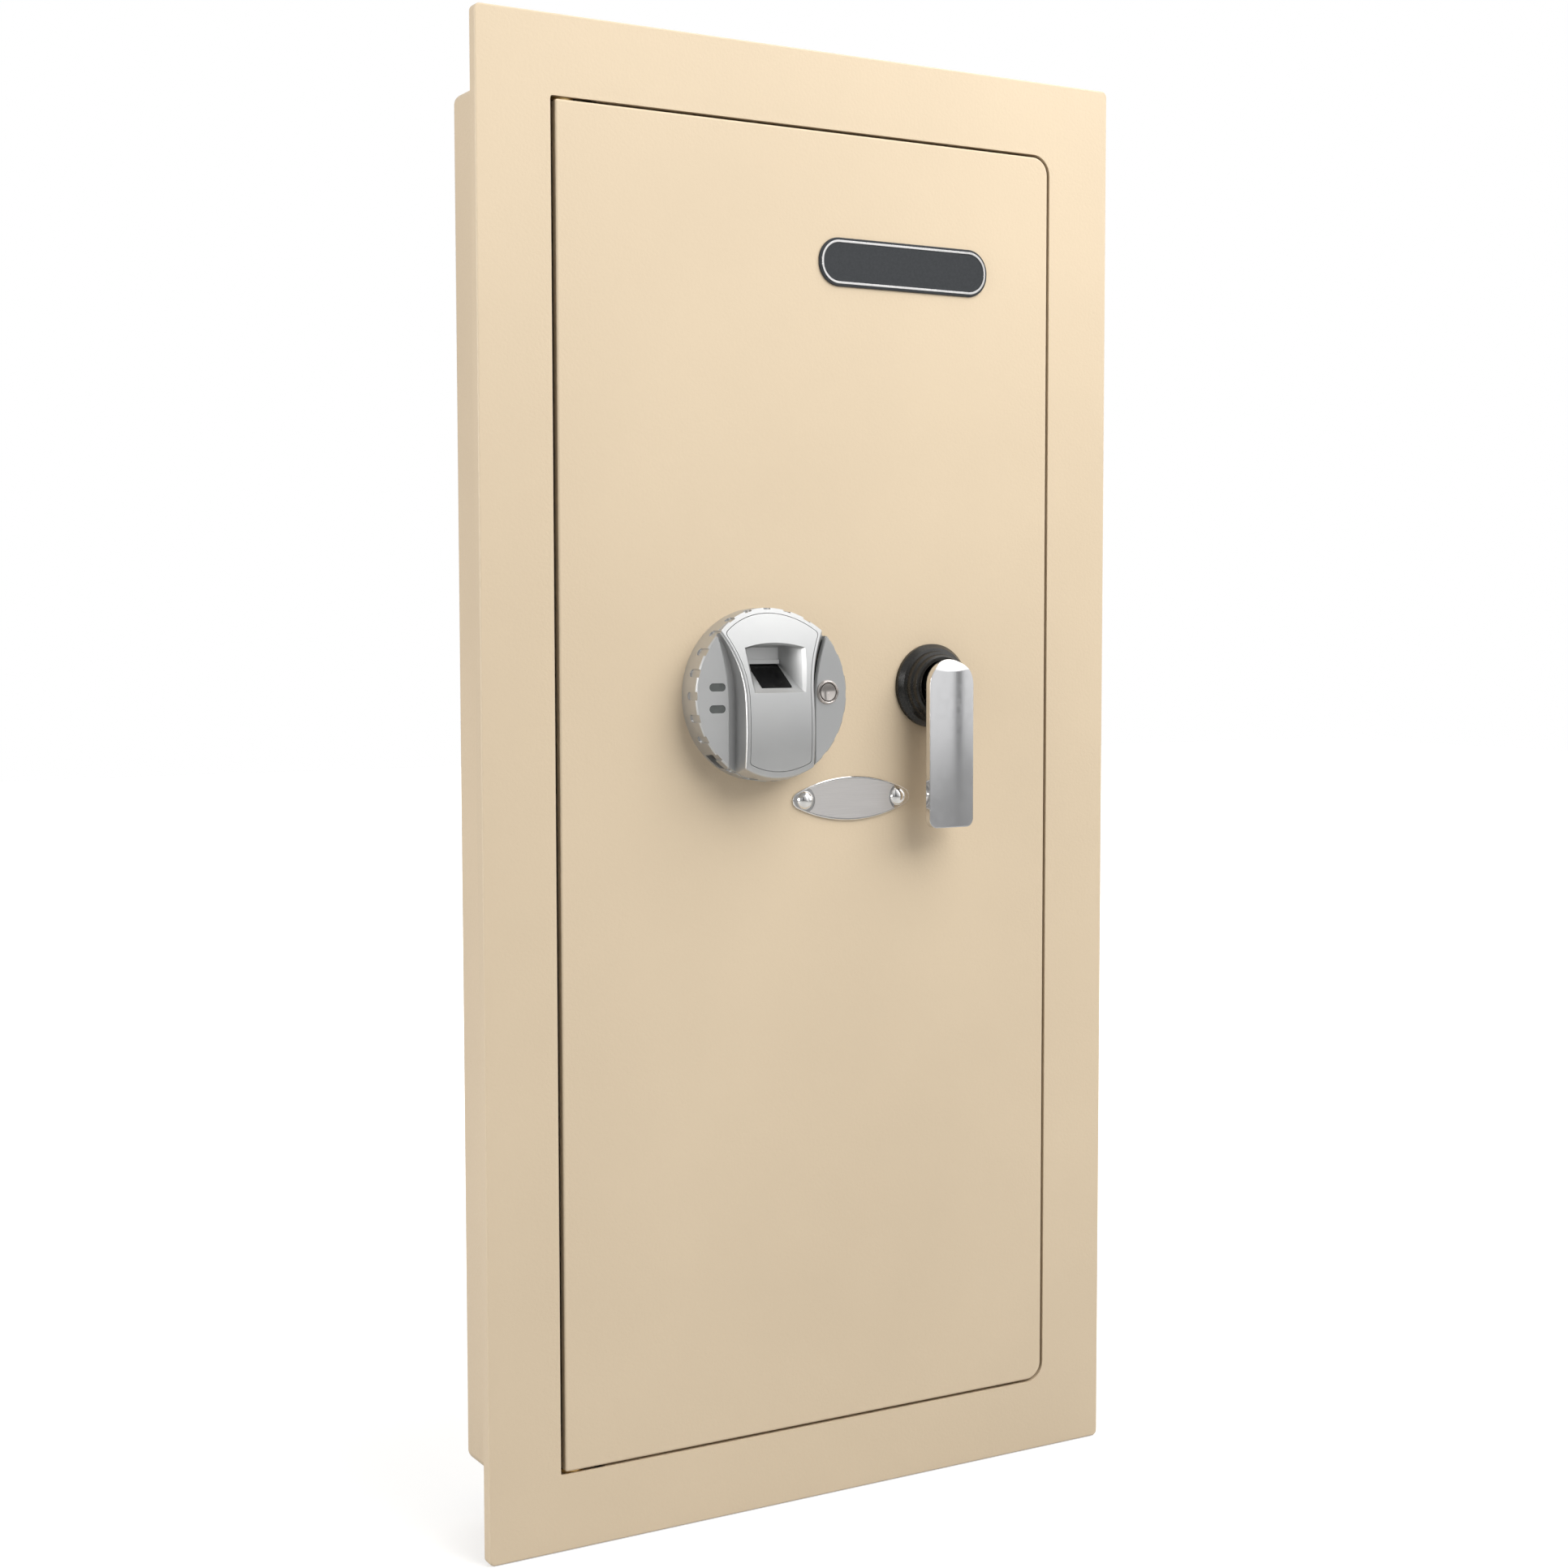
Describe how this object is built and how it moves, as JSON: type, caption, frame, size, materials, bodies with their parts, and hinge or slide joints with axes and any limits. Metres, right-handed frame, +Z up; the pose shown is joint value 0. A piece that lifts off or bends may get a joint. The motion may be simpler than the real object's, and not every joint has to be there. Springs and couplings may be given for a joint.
{
  "type": "wall safe",
  "caption": "Tall flush in-wall safe: cream steel door with round fingerprint lock, lens-shaped nameplate and lever handle; bolts, hinges and shelves inside.",
  "frame": {"origin": "centre of the wall surface that the flange closes on", "axes": "+X right seen from the room, +Y into the wall, +Z up"},
  "size_m": [0.422, 0.1264, 0.85],
  "materials": {
    "cream_paint": "fine-textured cream powder coat",
    "zinc_steel": "zinc-plated steel",
    "bolt_steel": "ground and chromed steel",
    "brass": "turned brass",
    "cam_steel": "stamped steel",
    "lever_chrome": "satin-polished chrome plate",
    "bright_chrome": "bright chrome plate",
    "satin_foil": "satin aluminium foil",
    "silver_moulding": "satin silver-painted moulding",
    "black_moulding": "black moulded plastic",
    "sensor_glass": "black optical glass",
    "smoked_lens": "smoked clear plastic",
    "circuit_board": "green solder mask",
    "badge_enamel": "dark enamel",
    "cell_wrap": "shrink-wrapped cells",
    "red_button": "red moulded plastic",
    "felt": "dark grey felt"
  },
  "bodies": {
    "cabinet": {"body_shell": "cream_paint", "front_frame": "cream_paint", "hinge_bracket_upper": "cream_paint", "hinge_bracket_lower": "cream_paint", "hinge_bush_upper": "brass", "hinge_bush_lower": "brass", "shelf_1": "cream_paint", "shelf_2": "cream_paint", "shelf_3": "cream_paint", "shelf_supports": "cream_paint", "floor_mat": "felt"},
    "door": {"door_plate": "cream_paint", "hinge_lug_upper": "cream_paint", "hinge_lug_lower": "cream_paint", "hinge_pin_upper": "zinc_steel", "hinge_pin_lower": "zinc_steel", "mechanism_cover": "cream_paint", "cover_standoffs": "zinc_steel", "cover_screws": "zinc_steel", "bolt_guide": "zinc_steel", "solenoid_frame": "zinc_steel", "handle_rosette": "black_moulding", "spindle_bush": "brass", "lock_housing": "silver_moulding", "lock_panel": "silver_moulding", "sensor_well": "silver_moulding", "sensor_glass": "sensor_glass", "status_lenses": "smoked_lens", "button_bezel": "bright_chrome", "jack_socket": "black_moulding", "lock_circuit_board": "circuit_board", "lock_pillars": "black_moulding", "lock_screws": "zinc_steel", "key_cylinder": "brass", "key_nut": "brass", "nameplate": "bright_chrome", "nameplate_label": "satin_foil", "nameplate_screws": "bright_chrome", "badge_plate": "badge_enamel", "badge_trim": "bright_chrome", "battery_box": "black_moulding", "battery_cells": "cell_wrap", "lid_rails": "black_moulding", "control_board": "circuit_board", "board_posts": "black_moulding"},
    "handle": {"handle_lever": "lever_chrome", "handle_spindle": "zinc_steel", "crank_arm": "zinc_steel", "crank_pin": "zinc_steel", "spindle_clip": "zinc_steel"},
    "bolt_carriage": {"bolt_bar": "zinc_steel", "bolt_nuts": "zinc_steel", "locking_bolts": "bolt_steel"},
    "plunger": {"solenoid_plunger": "zinc_steel"},
    "start_button": {"power_button": "bright_chrome"},
    "key_barrel": {"key_plug": "brass", "key_cam": "cam_steel"},
    "lid": {"battery_lid": "black_moulding"},
    "programming_button": {"program_button": "red_button"}
  },
  "joints": [
    {"name": "door_swing", "type": "hinge", "parent": "cabinet", "child": "door", "pos_m": [-0.1573, 0.0025, 0], "axis": [0, 0, 1], "range_deg": [-90, 0]},
    {"name": "handle_turn", "type": "hinge", "parent": "door", "child": "handle", "pos_m": [0.0805, -0.007, 0.059], "axis": [0, -1, 0], "range_deg": [0, 90]},
    {"name": "bolt_slide", "type": "slide", "parent": "door", "child": "bolt_carriage", "axis": [1, 0, 0], "range_m": [0, 0.016]},
    {"name": "plunger_rise", "type": "slide", "parent": "door", "child": "plunger", "axis": [0, 0, 1], "range_m": [0, 0.006]},
    {"name": "button_press", "type": "slide", "parent": "door", "child": "start_button", "axis": [0, 1, 0], "range_m": [0, 0.001], "stiffness_N_per_m": 400},
    {"name": "key_turn", "type": "hinge", "parent": "door", "child": "key_barrel", "pos_m": [0.0242, -0.007, -0.0068], "axis": [0, 1, 0], "range_deg": [0, 90]},
    {"name": "lid_slide", "type": "slide", "parent": "door", "child": "lid", "axis": [1, 0, 0], "range_m": [0, 0.012]},
    {"name": "programming_press", "type": "slide", "parent": "door", "child": "programming_button", "axis": [0, -1, 0], "range_m": [0, 0.001], "stiffness_N_per_m": 400}
  ],
  "couplings": [
    {"joint": "bolt_slide", "follows": "handle_turn", "m_per_rad": 0.010185}
  ]
}
